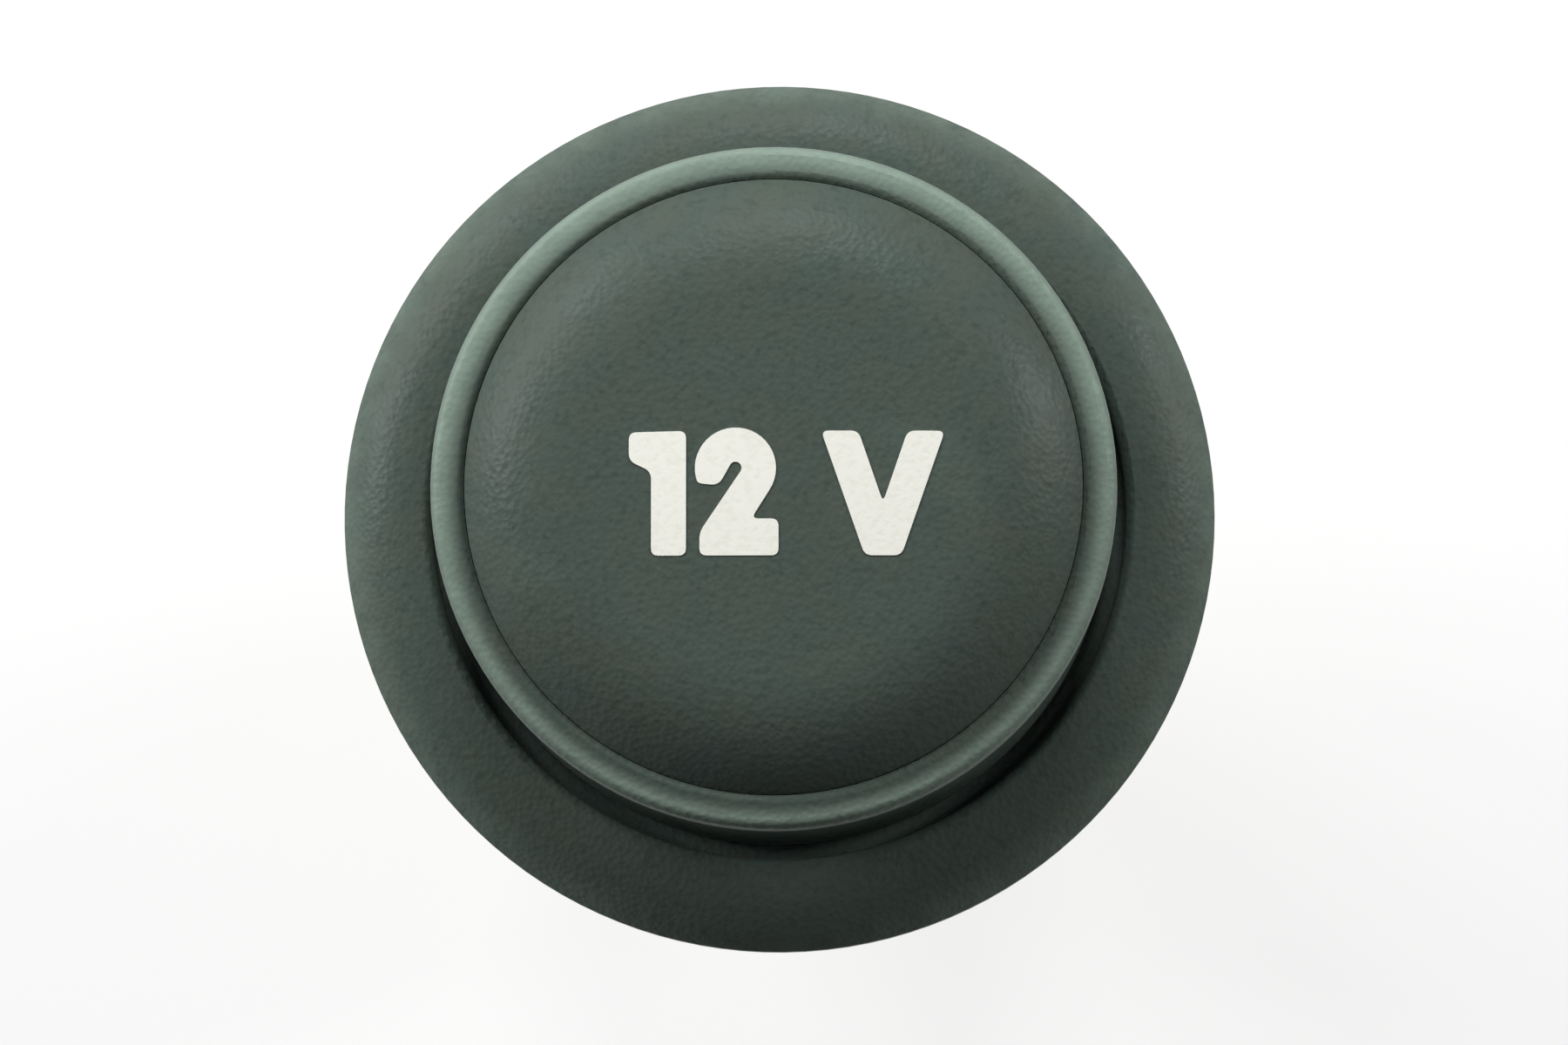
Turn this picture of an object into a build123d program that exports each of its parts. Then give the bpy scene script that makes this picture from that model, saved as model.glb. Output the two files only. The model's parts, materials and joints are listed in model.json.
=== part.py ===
from build123d import *
import os
from math import degrees, radians, tan

# Car power socket: a snap-in bezel, a drawn receptacle shell with its contact stack, and a pull-off cap.
# Millimetres. Z is the axis of the socket and points out of its mouth, towards the user.
# The origin is on the axis, at the face of the panel that the bezel's flange rests on.

# Fits
fit_gap = 0.1  # radial, between fixed pieces that slip together
pin_gap = 0.05  # radial, round pegs, stud and rivet
cap_gap = 0.15  # radial, between the cap's barrel and the shell's mouth
lip_gap = 0.15  # radial, round the shell's lip in the bezel
face_gap = 0.03  # radial, round the face in the knob's rim

# Panel that the socket snaps into
panel_thickness = 2.5
panel_play = 0.2  # between the panel's back and the snap noses

# Receptacle shell, drawn from sheet
bore_diameter = 21.0  # standard plug bore
mouth_step = 0.3  # the mouth is wider than the bore by this much on the radius
shell_wall = 0.8
lip_width = 1.0
mouth_round = 0.6
sheet_edge_round = 0.2
step_height = 1.0  # cone between the mouth and the bore
grip_depth = 13.0  # length of the bore that grips a plug
neck_step = 2.0
neck_depth = 6.0
bend_round = 0.4
bend_share = 0.45  # largest share of the neck's step that a bend may take

# Lanced ears that hold the shell in the bezel
ear_count = 3
ear_width = 4.4
ear_height = 4.5
ear_reach = 0.9
ear_gap = 0.1
lance_cut = 0.3

# Bezel
flange_width = 3.7
flange_edge = 0.9
flange_chamfer = 0.4
crest_height = 2.6
crest_round = 0.4
ledge_height = 1.0
recess_round = 0.3
seat_chamfer = 0.3
seat_ring_depth = 1.6
collar_wall = 1.65
collar_length = 14.0
collar_chamfer = 0.6
collar_rib_count = 6
collar_rib_width = 1.2
collar_rib_setback = 1.5
arm_count = 3
arm_width = 7.0
arm_wall = 1.2
arm_slot = 1.0
arm_root = 2.0
nose_reach = 1.0
nose_land = 0.8
nose_ramp = 4.5

# Cap body
knob_seat = 0.85  # width of the foot's seat outside the shell's lip
rim_overhang = 0.2
groove_width = 0.5  # open groove between the knob and the bezel
knob_height = 12.0
rim_width = 1.35
rim_round = 0.45
rim_edge = 0.3
rim_step = 0.12  # height of the rim above the valley round the face
rim_flank = 30  # slope of the rim's inner side, degrees
rim_lean = 10  # slope of the rim's top, falling outwards, degrees
rim_band = 1.4
waist_depth = 0.45
skirt_wall = 1.5
foot_height = 0.8
foot_round = 0.3
recess_depth = 1.8
web_thickness = 1.8
web_round = 0.4
barrel_wall = 2.3
barrel_depth = 18.0
barrel_lead = 1.0
barrel_end_gap = 2.0
slit_count = 4
slit_width = 1.5
slit_length = 8.0
cap_rib_count = 8
cap_rib_width = 1.0
cap_rib_setback = 1.0

# Cap face
shoulder_width = 4.4
shoulder_drop = 2.0
crown_drop = 0.2
peg_count = 3
peg_radius = 1.1
peg_pitch_radius = 6.0
peg_tail = 0.6

# Cap seal
seal_cord = 1.6
seal_gap = 0.05
seal_depth = 4.5
seal_play = 0.3

# Contact stack
insulator_thickness = 2.4
insulator_rim_height = 1.2
insulator_rim_width = 1.4
insulator_chamfer = 0.7
cup_sheet = 0.5
cup_flare_sheet = 0.6  # level width of the flared wall
cup_base_radius = 4.4
cup_rim_radius = 6.0
cup_height = 2.6
cup_slit_count = 4
cup_slit_width = 0.9
stud_diameter = 4.0
stud_head_radius = 3.0
stud_head_height = 1.5
stud_head_edge = 0.7
stud_point = 1.4
stud_chamfer = 0.5
spigot_wall = 0.9

# Rear insulator
base_thickness = 4.2
base_round = 1.0
base_skirt_gap = 0.5
key_radius = 0.8
key_offset = 6.0
key_height = 1.8

# Terminals
blade_width = 6.3
blade_thickness = 0.8
blade_length = 12.0
blade_offset = 8.4
blade_bend = 0.5
blade_tip_cut = 1.2
blade_hole_radius = 0.8
blade_hole_setback = 3.6
slot_gap = 0.1
eyelet_radius = 4.2
foot_end = 2.1
foot_corner = 1.5
rivet_offset = 5.3
rivet_radius = 1.15
rivet_head_radius = 2.0
rivet_head_height = 0.9
rivet_tail_radius = 1.8
rivet_tail_height = 0.8
rivet_pocket_gap = 0.2

# Fasteners
washer_radius = 4.4
washer_thickness = 0.8
lock_radius = 3.8
lock_thickness = 1.0
lock_split = 1.0
nut_flats = 7.0
nut_height = 3.2
nut_chamfer = 0.5

# Radii, worked out from the bore outwards
bore_radius = bore_diameter / 2
bore_outside = bore_radius + shell_wall
mouth_radius = bore_radius + mouth_step
mouth_outside = mouth_radius + shell_wall
lip_radius = mouth_outside + lip_width
neck_radius = bore_radius - neck_step
neck_outside = neck_radius + shell_wall
seat_bore = mouth_outside + fit_gap
collar_inside = lip_radius + lip_gap
collar_outside = collar_inside + collar_wall
nose_radius = collar_outside + nose_reach
foot_radius = collar_inside + knob_seat
rim_radius = foot_radius + rim_overhang
rim_inside = rim_radius - rim_width
rim_crest_radius = rim_inside + rim_step / tan(radians(rim_flank))
throat_radius = rim_radius + groove_width
flange_radius = throat_radius + flange_width
skirt_inside = foot_radius - skirt_wall
barrel_radius = mouth_radius - cap_gap
barrel_inside = barrel_radius - barrel_wall
face_radius = rim_inside - face_gap
crest_radius = throat_radius + crest_round
seal_radius = mouth_radius - seal_gap
stud_radius = stud_diameter / 2
stud_hole_radius = stud_radius + pin_gap
spigot_radius = stud_hole_radius + spigot_wall
floor_hole_radius = spigot_radius + pin_gap
insulator_radius = neck_radius - fit_gap
base_radius = bore_outside
base_inside = neck_outside + fit_gap

# Levels, worked out from the panel's face
lip_seat_z = ledge_height - shell_wall
seat_under_z = -seat_ring_depth
nose_top_z = -panel_thickness - panel_play
collar_end_z = -collar_length
barrel_end_z = ledge_height - barrel_depth
step_top_z = barrel_end_z - barrel_end_gap
bore_top_z = step_top_z - step_height
shoulder_z = bore_top_z - grip_depth
shoulder_under_z = shoulder_z - shell_wall
floor_z = shoulder_z - neck_depth
floor_under_z = floor_z - shell_wall
cup_seat_z = floor_z + insulator_thickness
stud_seat_z = cup_seat_z + cup_sheet
base_under_z = floor_under_z - base_thickness
eyelet_under_z = base_under_z - blade_thickness
washer_under_z = eyelet_under_z - washer_thickness
lock_under_z = washer_under_z - lock_thickness
nut_under_z = lock_under_z - nut_height
stud_end_z = nut_under_z - stud_point
blade_tip_z = base_under_z - blade_length
foot_under_z = floor_under_z - blade_thickness
rim_z = ledge_height + knob_height
rim_corner_z = rim_z - (rim_radius - rim_crest_radius) * tan(radians(rim_lean))
valley_z = rim_z - rim_step
deck_z = rim_z - recess_depth
web_under_z = deck_z - web_thickness
seal_z = ledge_height - seal_depth

# The sheet's bends are held within the steps that they turn
inner_bend = min(bend_round, bend_share * (neck_step - shell_wall))
outer_bend = inner_bend + shell_wall
cut_margin = 1.0  # how far a cutter runs past the wall that it cuts


def turned_face(section):
    """Solid of revolution about Z of a section drawn as (radius, height)."""
    return revolve(Plane.XZ * section, Axis.Z)


def turned(*corners):
    """Solid of revolution from the corners (radius, height, rounding) of its half section."""
    points = [(radius, height) for radius, height, rounding in corners]
    roundings = [rounding for radius, height, rounding in corners]
    return turned_face(make_face(FilletPolyline(*points, radius=roundings, close=True)))


def sector(corners, arc, middle):
    """Part turn, centred on an angle, of a section with straight sides."""
    section = make_face(Polyline(*corners, close=True))
    return Rot(0, 0, middle - arc / 2) * revolve(Plane.XZ * section, Axis.Z, arc)


def ring_sector(inside, outside, low, high, width, middle):
    """Piece of a tube wall, with its width measured along the outside."""
    corners = [(inside, low), (outside, low), (outside, high), (inside, high)]
    return sector(corners, degrees(width / outside), middle)


def block(low, high):
    """Box between two corners."""
    size = [b - a for a, b in zip(low, high)]
    return Pos(*low) * Box(*size, align=(Align.MIN, Align.MIN, Align.MIN))


def rod(radius, low, high, x=0.0, y=0.0):
    """Upright cylinder between two levels."""
    return Pos(x, y, low) * Cylinder(radius, high - low, align=(Align.CENTER, Align.CENTER, Align.MIN))


def spaced(count, start=0.0):
    """Angles of a pattern spread evenly round the axis."""
    return [start + 360 * i / count for i in range(count)]


def radial_slits(count, width, length, low, high, start=0.0):
    """Cutters that run out from the axis."""
    slit = block((0, -width / 2, low), (length, width / 2, high))
    return [Rot(0, 0, angle) * slit for angle in spaced(count, start)]


def socket_shell():
    """Drawn receptacle with a turned-out lip, a stepped bore, a necked floor and three lanced ears."""
    shell = turned(
        (lip_radius, ledge_height, sheet_edge_round),
        (lip_radius, lip_seat_z, sheet_edge_round),
        (mouth_outside, lip_seat_z, 0),
        (mouth_outside, step_top_z, 0),
        (bore_outside, bore_top_z, 0),
        (bore_outside, shoulder_under_z, outer_bend),
        (neck_outside, shoulder_under_z, inner_bend),
        (neck_outside, floor_under_z, outer_bend),
        (floor_hole_radius, floor_under_z, 0),
        (floor_hole_radius, floor_z, 0),
        (neck_radius, floor_z, inner_bend),
        (neck_radius, shoulder_z, outer_bend),
        (bore_radius, shoulder_z, inner_bend),
        (bore_radius, bore_top_z, 0),
        (mouth_radius, step_top_z, 0),
        (mouth_radius, ledge_height, mouth_round),
    )
    ear_top_z = seat_under_z - ear_gap
    ear_foot_z = ear_top_z - ear_height
    ear_corners = [
        (mouth_radius, ear_foot_z),
        (mouth_outside, ear_foot_z),
        (mouth_outside + ear_reach, ear_top_z),
        (mouth_radius + ear_reach, ear_top_z),
    ]
    ear_arc = degrees(ear_width / mouth_outside)
    window_inside = mouth_radius - cut_margin
    window_outside = mouth_outside + cut_margin
    window_width = (ear_width + 2 * lance_cut) * window_outside / mouth_outside
    for angle in spaced(ear_count):
        shell -= ring_sector(window_inside, window_outside, ear_foot_z, ear_top_z, window_width, angle)
        shell += sector(ear_corners, ear_arc, angle)
    shell -= rod(rivet_radius + pin_gap, floor_under_z - cut_margin, floor_z + cut_margin, -rivet_offset)
    for side in (-1, 1):
        shell -= rod(
            key_radius + pin_gap, floor_under_z - cut_margin, floor_z + cut_margin, 0, side * key_offset
        )
    return shell


def bezel_ring():
    """Rounded flange with a recess for the knob, and a collar with ribs and three snap arms."""
    throat_top_z = crest_height - crest_round
    recess = FilletPolyline(
        (throat_radius, throat_top_z),
        (throat_radius, ledge_height),
        (collar_inside, ledge_height),
        radius=recess_round,
    )
    collar = Polyline(
        (collar_inside, ledge_height),
        (collar_inside, lip_seat_z),
        (seat_bore + seat_chamfer, lip_seat_z),
        (seat_bore, lip_seat_z - seat_chamfer),
        (seat_bore, seat_under_z),
        (collar_inside, seat_under_z),
        (collar_inside, collar_end_z),
        (collar_outside - collar_chamfer, collar_end_z),
        (collar_outside, collar_end_z + collar_chamfer),
        (collar_outside, 0),
        (flange_radius - flange_chamfer, 0),
        (flange_radius, flange_chamfer),
        (flange_radius, flange_edge),
    )
    roll = TangentArc((crest_radius, crest_height), (flange_radius, flange_edge), tangent=(1, 0))
    throat_edge = TangentArc((throat_radius, throat_top_z), (crest_radius, crest_height), tangent=(0, 1))
    bezel = turned_face(make_face([recess, collar, roll, throat_edge]))

    for angle in spaced(collar_rib_count, 180 / collar_rib_count):
        bezel += ring_sector(
            seat_bore,
            collar_inside + collar_wall / 2,
            collar_end_z + collar_rib_setback,
            seat_under_z,
            collar_rib_width,
            angle,
        )

    arm_foot_z = collar_end_z + arm_root
    window_inside = collar_inside - fit_gap
    window_outside = collar_outside + cut_margin
    window_width = (arm_width + 2 * arm_slot) * window_outside / collar_outside
    nose_bottom_z = nose_top_z - nose_land - nose_ramp
    nose_corners = [
        (collar_outside - arm_wall / 2, nose_top_z),
        (nose_radius, nose_top_z),
        (nose_radius, nose_top_z - nose_land),
        (collar_outside, nose_bottom_z),
        (collar_outside - arm_wall / 2, nose_bottom_z),
    ]
    arm_arc = degrees(arm_width / collar_outside)
    for angle in spaced(arm_count, 180 / arm_count):
        window = ring_sector(
            window_inside, window_outside, arm_foot_z, nose_top_z + arm_slot, window_width, angle
        )
        arm_corners = [
            (collar_outside - arm_wall, arm_foot_z - cut_margin),
            (window_outside + cut_margin, arm_foot_z - cut_margin),
            (window_outside + cut_margin, nose_top_z),
            (collar_outside - arm_wall, nose_top_z),
        ]
        bezel -= window - sector(arm_corners, arm_arc, angle)
        bezel += sector(nose_corners, arm_arc, angle)
    return bezel


def cap_body():
    """Knob with a waisted skirt and a thin raised rim, and the slit barrel that plugs into the mouth."""
    outline = FilletPolyline(
        (rim_inside, valley_z),
        (rim_inside, deck_z),
        (0, deck_z),
        (0, web_under_z),
        (barrel_inside, web_under_z),
        (barrel_inside, barrel_end_z),
        (barrel_radius - barrel_lead, barrel_end_z),
        (barrel_radius, barrel_end_z + barrel_lead),
        (barrel_radius, web_under_z),
        (skirt_inside, web_under_z),
        (skirt_inside, ledge_height),
        (foot_radius, ledge_height),
        (foot_radius, ledge_height + foot_height),
        radius=[0, 0, 0, web_round, 0, 0, 0, web_round, web_round, 0, foot_round],
    )
    waist = ThreePointArc(
        (foot_radius, ledge_height + foot_height),
        (foot_radius - waist_depth, (ledge_height + foot_height + rim_z - rim_band) / 2),
        (rim_radius, rim_z - rim_band),
    )
    rim = FilletPolyline(
        (rim_radius, rim_z - rim_band),
        (rim_radius, rim_corner_z),
        (rim_crest_radius, rim_z),
        (rim_inside, valley_z),
        radius=[rim_round, rim_edge],
    )
    cap = turned_face(make_face([outline, waist, rim]))

    rib = block(
        (barrel_radius - barrel_wall / 2, -cap_rib_width / 2, ledge_height + cap_rib_setback),
        (skirt_inside + skirt_wall / 4, cap_rib_width / 2, web_under_z + web_thickness / 2),
    )
    for angle in spaced(cap_rib_count, 180 / cap_rib_count):
        cap += Rot(0, 0, angle) * rib

    groove_half = (seal_cord + seal_play) / 2
    groove_radius = seal_radius - seal_cord - seal_gap
    cap -= turned(
        (groove_radius, seal_z - groove_half, 0),
        (barrel_radius + cut_margin, seal_z - groove_half, 0),
        (barrel_radius + cut_margin, seal_z + groove_half, 0),
        (groove_radius, seal_z + groove_half, 0),
    )
    cap -= radial_slits(
        slit_count,
        slit_width,
        barrel_radius + cut_margin,
        barrel_end_z - cut_margin,
        barrel_end_z + slit_length,
    )
    for angle in spaced(peg_count):
        hole = rod(peg_radius + pin_gap, web_under_z - cut_margin, deck_z + cut_margin, peg_pitch_radius)
        cap -= Rot(0, 0, angle) * hole
    return cap


def cap_face():
    """Crowned disc with rolled shoulders, pegged into the knob."""
    shoulder_top_z = valley_z + shoulder_drop
    crown_z = shoulder_top_z + crown_drop
    crown_radius = face_radius - shoulder_width
    crown = TangentArc((0, crown_z), (crown_radius, shoulder_top_z), tangent=(1, 0))
    shoulder = TangentArc(crown @ 1, (face_radius, valley_z), tangent=crown % 1)
    sides = Polyline((face_radius, valley_z), (face_radius, deck_z), (0, deck_z), (0, crown_z))
    face = turned_face(make_face([crown, shoulder, sides]))
    for angle in spaced(peg_count):
        peg = rod(peg_radius, web_under_z - peg_tail, (deck_z + valley_z) / 2, peg_pitch_radius)
        face += Rot(0, 0, angle) * peg
    return face


def cap_seal_ring():
    """Rubber ring of round section in the barrel's groove."""
    return Pos(0, 0, seal_z) * Torus(seal_radius - seal_cord / 2, seal_cord / 2)


def contact_insulator():
    """Moulded disc in the shell's neck, with a raised rim and a spigot through the floor."""
    rim_top_z = cup_seat_z + insulator_rim_height
    body = turned(
        (stud_hole_radius, cup_seat_z, 0),
        (stud_hole_radius, floor_under_z, 0),
        (spigot_radius, floor_under_z, 0),
        (spigot_radius, floor_z, 0),
        (insulator_radius - insulator_chamfer, floor_z, 0),
        (insulator_radius, floor_z + insulator_chamfer, 0),
        (insulator_radius, rim_top_z, 0),
        (insulator_radius - insulator_rim_width, rim_top_z, 0),
        (insulator_radius - insulator_rim_width, cup_seat_z, 0),
    )
    pocket_top_z = floor_z + rivet_head_height + rivet_pocket_gap
    body -= rod(rivet_head_radius + rivet_pocket_gap, floor_z - cut_margin, pocket_top_z, -rivet_offset)
    key_top_z = floor_under_z + key_height + fit_gap
    for side in (-1, 1):
        body -= rod(key_radius + pin_gap, floor_z - cut_margin, key_top_z, 0, side * key_offset)
    return body


def contact_cup():
    """Flared contact dish, slit into springy petals."""
    cup_top_z = cup_seat_z + cup_height
    dish = turned(
        (stud_hole_radius, cup_seat_z, 0),
        (cup_base_radius, cup_seat_z, cup_sheet),
        (cup_rim_radius, cup_top_z, 0),
        (cup_rim_radius - cup_flare_sheet, cup_top_z, 0),
        (cup_base_radius - cup_sheet / 2, cup_seat_z + cup_sheet, 0),
        (stud_hole_radius, cup_seat_z + cup_sheet, 0),
    )
    slit = block(
        (cup_base_radius, -cup_slit_width / 2, cup_seat_z + cup_sheet),
        (cup_rim_radius + cut_margin, cup_slit_width / 2, cup_top_z + cut_margin),
    )
    for angle in spaced(cup_slit_count, 180 / cup_slit_count):
        dish -= Rot(0, 0, angle) * slit
    return dish


def contact_stud():
    """Stud with a domed head, which clamps the whole stack."""
    head_top_z = stud_seat_z + stud_head_height
    edge_z = stud_seat_z + stud_head_edge
    dome = TangentArc((0, head_top_z), (stud_head_radius, edge_z), tangent=(1, 0))
    sides = Polyline(
        (stud_head_radius, edge_z),
        (stud_head_radius, stud_seat_z),
        (stud_radius, stud_seat_z),
        (stud_radius, stud_end_z + stud_chamfer),
        (stud_radius - stud_chamfer, stud_end_z),
        (0, stud_end_z),
        (0, head_top_z),
    )
    return turned_face(make_face([dome, sides]))


def rear_insulator():
    """Moulded cup over the shell's neck, with keys, a channel and a slot for the earth blade."""
    body = turned(
        (stud_hole_radius, floor_under_z, 0),
        (stud_hole_radius, base_under_z, 0),
        (base_radius, base_under_z, base_round),
        (base_radius, shoulder_under_z - base_skirt_gap, 0),
        (base_inside, shoulder_under_z - base_skirt_gap, 0),
        (base_inside, floor_under_z, 0),
    )
    half_slot = blade_width / 2 + slot_gap
    body -= block(
        (-blade_offset - slot_gap, -half_slot, foot_under_z),
        (-rivet_offset + foot_end + slot_gap, half_slot, floor_under_z + cut_margin),
    )
    body -= block(
        (-blade_offset - slot_gap, -half_slot, base_under_z - cut_margin),
        (-blade_offset + blade_thickness + blade_bend + slot_gap, half_slot, floor_under_z),
    )
    tail_z = foot_under_z - rivet_tail_height - rivet_pocket_gap
    body -= rod(rivet_tail_radius + rivet_pocket_gap, tail_z, floor_under_z, -rivet_offset)
    for side in (-1, 1):
        body += rod(
            key_radius, floor_under_z - base_thickness / 2, floor_under_z + key_height, 0, side * key_offset
        )
    return body


def bent_blade(side, inner_end, top_z):
    """Strap that runs out from near the axis and turns down into a blade with a pierced, tapered tip."""
    outer = blade_offset
    inner = blade_offset - blade_thickness
    under_z = top_z - blade_thickness
    profile = FilletPolyline(
        (inner_end, top_z),
        (outer, top_z),
        (outer, blade_tip_z),
        (inner, blade_tip_z),
        (inner, under_z),
        (inner_end, under_z),
        radius=[0, blade_bend + blade_thickness, 0, 0, blade_bend, 0],
        close=True,
    )
    strap = extrude(Plane.XZ * make_face(profile), blade_width / 2, both=True)
    half = blade_width / 2
    for edge in (-1, 1):
        corner = make_face(
            Polyline(
                (edge * half, blade_tip_z),
                (edge * (half - blade_tip_cut), blade_tip_z),
                (edge * half, blade_tip_z + 2 * blade_tip_cut),
                close=True,
            )
        )
        strap -= extrude(Plane.YZ * corner, blade_offset + cut_margin)
    hole = Plane.YZ * Pos(0, blade_tip_z + blade_hole_setback) * Circle(blade_hole_radius)
    strap -= extrude(hole, blade_offset + cut_margin)
    return Rot(0, 0, 0 if side > 0 else 180) * strap


def positive_terminal():
    """Eyelet under the rear insulator with its blade."""
    eyelet = rod(eyelet_radius, eyelet_under_z, base_under_z)
    terminal = bent_blade(1, 0, base_under_z) + eyelet
    return terminal - rod(stud_hole_radius, eyelet_under_z - cut_margin, base_under_z + cut_margin)


def ground_terminal():
    """Foot riveted to the shell's floor with its blade."""
    strap = bent_blade(-1, rivet_offset - foot_end, floor_under_z)
    inner_edges = strap.edges().filter_by(Axis.Z).sort_by(Axis.X)[-2:]
    strap = fillet(inner_edges, foot_corner)
    return strap - rod(
        rivet_radius + pin_gap, foot_under_z - cut_margin, floor_under_z + cut_margin, -rivet_offset
    )


def ground_rivet():
    """Rivet through the shell's floor and the earth foot."""
    head_top_z = floor_z + rivet_head_height
    tail_z = foot_under_z - rivet_tail_height
    head = TangentArc((0, head_top_z), (rivet_head_radius, floor_z), tangent=(1, 0))
    tail = TangentArc((0, tail_z), (rivet_tail_radius, foot_under_z), tangent=(1, 0))
    shank = Polyline(
        (rivet_head_radius, floor_z),
        (rivet_radius, floor_z),
        (rivet_radius, foot_under_z),
        (rivet_tail_radius, foot_under_z),
    )
    core = Line((0, tail_z), (0, head_top_z))
    return Pos(-rivet_offset, 0, 0) * turned_face(make_face([head, shank, tail, core]))


def flat_ring(outside, low, high):
    """Washer on the stud."""
    return rod(outside, low, high) - rod(stud_hole_radius, low - cut_margin, high + cut_margin)


def plain_washer():
    """Flat washer under the eyelet."""
    return flat_ring(washer_radius, washer_under_z, eyelet_under_z)


def lock_washer():
    """Split spring washer, clamped flat."""
    ring = flat_ring(lock_radius, lock_under_z, washer_under_z)
    split = block(
        (0, -lock_split / 2, lock_under_z - cut_margin),
        (lock_radius + cut_margin, lock_split / 2, washer_under_z + cut_margin),
    )
    return ring - Rot(0, 0, 180) * split


def hex_nut():
    """Hexagon nut with chamfered corners."""
    corner_radius = nut_flats / 3**0.5
    prism = Pos(0, 0, nut_under_z) * extrude(
        RegularPolygon(nut_flats / 2, 6, major_radius=False), nut_height
    )
    chamfered = turned(
        (stud_hole_radius, nut_under_z, 0),
        (corner_radius - nut_chamfer, nut_under_z, 0),
        (corner_radius, nut_under_z + nut_chamfer / 2, 0),
        (corner_radius, lock_under_z - nut_chamfer / 2, 0),
        (corner_radius - nut_chamfer, lock_under_z, 0),
        (stud_hole_radius, lock_under_z, 0),
    )
    return prism & chamfered


pieces = [
    bezel_ring,
    socket_shell,
    contact_cup,
    contact_stud,
    contact_insulator,
    rear_insulator,
    positive_terminal,
    plain_washer,
    lock_washer,
    hex_nut,
    ground_terminal,
    ground_rivet,
    cap_body,
    cap_face,
    cap_seal_ring,
]

os.makedirs("parts", exist_ok=True)
for piece in pieces:
    export_step(piece(), f"parts/{piece.__name__}.step")
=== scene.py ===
import json
import math

import bmesh
import bpy
from bpy.props import FloatProperty, FloatVectorProperty, IntProperty, PointerProperty
from mathutils import Matrix, Vector


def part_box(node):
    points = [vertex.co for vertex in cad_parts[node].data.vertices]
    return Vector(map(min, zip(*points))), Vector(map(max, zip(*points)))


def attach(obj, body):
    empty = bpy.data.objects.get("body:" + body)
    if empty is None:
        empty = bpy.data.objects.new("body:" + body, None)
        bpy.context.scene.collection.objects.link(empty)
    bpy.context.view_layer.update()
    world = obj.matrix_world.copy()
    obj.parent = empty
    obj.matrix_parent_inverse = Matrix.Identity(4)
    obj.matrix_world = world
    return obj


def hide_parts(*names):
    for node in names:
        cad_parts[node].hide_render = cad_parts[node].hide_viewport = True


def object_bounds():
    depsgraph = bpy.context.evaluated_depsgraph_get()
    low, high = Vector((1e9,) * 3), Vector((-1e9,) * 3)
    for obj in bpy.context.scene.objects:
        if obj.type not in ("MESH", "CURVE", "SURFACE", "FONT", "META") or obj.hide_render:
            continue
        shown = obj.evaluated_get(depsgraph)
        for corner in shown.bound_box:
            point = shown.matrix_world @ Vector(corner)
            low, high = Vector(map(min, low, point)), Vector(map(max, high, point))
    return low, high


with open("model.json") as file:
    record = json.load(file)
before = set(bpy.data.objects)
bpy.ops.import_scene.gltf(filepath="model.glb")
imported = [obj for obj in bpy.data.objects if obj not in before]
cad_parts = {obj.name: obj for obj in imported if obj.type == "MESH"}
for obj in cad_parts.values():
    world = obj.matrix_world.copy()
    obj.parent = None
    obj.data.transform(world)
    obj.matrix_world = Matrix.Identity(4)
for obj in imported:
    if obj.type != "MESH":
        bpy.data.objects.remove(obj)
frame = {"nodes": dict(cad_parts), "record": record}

bl_info = {
    "name": "Car Power Socket",
    "version": (1, 0, 0),
    "blender": (4, 5, 0),
    "location": "3D View > Sidebar > Power Socket",
    "description": "Dresses the packed solids of a capped car power socket and sets up its studio",
    "category": "Object",
}

MM = 0.001
WHITE = (1.0, 1.0, 1.0, 1.0)
BLACK = (0.0, 0.0, 0.0, 1.0)
CAD_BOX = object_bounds()
NODES = frame["nodes"]
_, BEZEL_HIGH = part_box("bezel_ring")
_, CAP_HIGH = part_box("cap_body")
_, FACE_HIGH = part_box("cap_face")
STUD_LOW, STUD_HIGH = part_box("contact_stud")
BASE_LOW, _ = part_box("rear_insulator")
LAMPS = ("left", "upper_left", "top", "right")

# Spans of noise that the materials spread out. A noise's values run from about 0.2 to 0.8.
NOISE_SPAN = (0.3, 0.7)
WIDE_SPAN = (0.2, 0.8)
SPECKLE_SPAN = (0.22, 0.55)
RUBBED_SPAN = (0.55, 0.8)
DULLED_SPAN = (0.35, 0.75)
BLOOM_SPAN = (0.45, 0.75)
INK_SPAN = (0.25, 0.6)
PINHOLE_SPAN = (0.22, 0.3)


def slot_colour(slot):
    """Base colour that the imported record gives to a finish."""
    return next(m["base_color"] for m in frame["record"]["materials"] if m["slot"] == slot)


# Properties


def length(name, description, default):
    """Length in metres."""
    return FloatProperty(
        name=name, description=description, default=default, unit="LENGTH", precision=5, min=0.0
    )


def offset(name, description, default):
    """Signed distance in metres."""
    return FloatProperty(
        name=name, description=description, default=default, unit="LENGTH", precision=5
    )


def share(name, description, default):
    """Number from nothing to all."""
    return FloatProperty(
        name=name, description=description, default=default, subtype="FACTOR", min=0.0, max=1.0
    )


def gain(name, description, default):
    """Factor on a colour."""
    return FloatProperty(name=name, description=description, default=default, min=0.0, soft_max=2.0)


def channel_gains(name, description, default):
    """Factor on each channel of a colour."""
    return FloatVectorProperty(name=name, description=description, default=default, size=3, min=0.0)


def layers(name, description, default):
    """Number of ever finer layers in a noise."""
    return FloatProperty(name=name, description=description, default=default, min=0.0, max=15.0)


def turn(name, description, degrees):
    """Angle."""
    return FloatProperty(
        name=name, description=description, default=math.radians(degrees), subtype="ANGLE"
    )


def power(name, description, default):
    """Power of a lamp in watts."""
    return FloatProperty(name=name, description=description, default=default, unit="POWER", min=0.0)


def amount(name, description, default, least):
    """Whole number."""
    return IntProperty(name=name, description=description, default=default, min=least)


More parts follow.
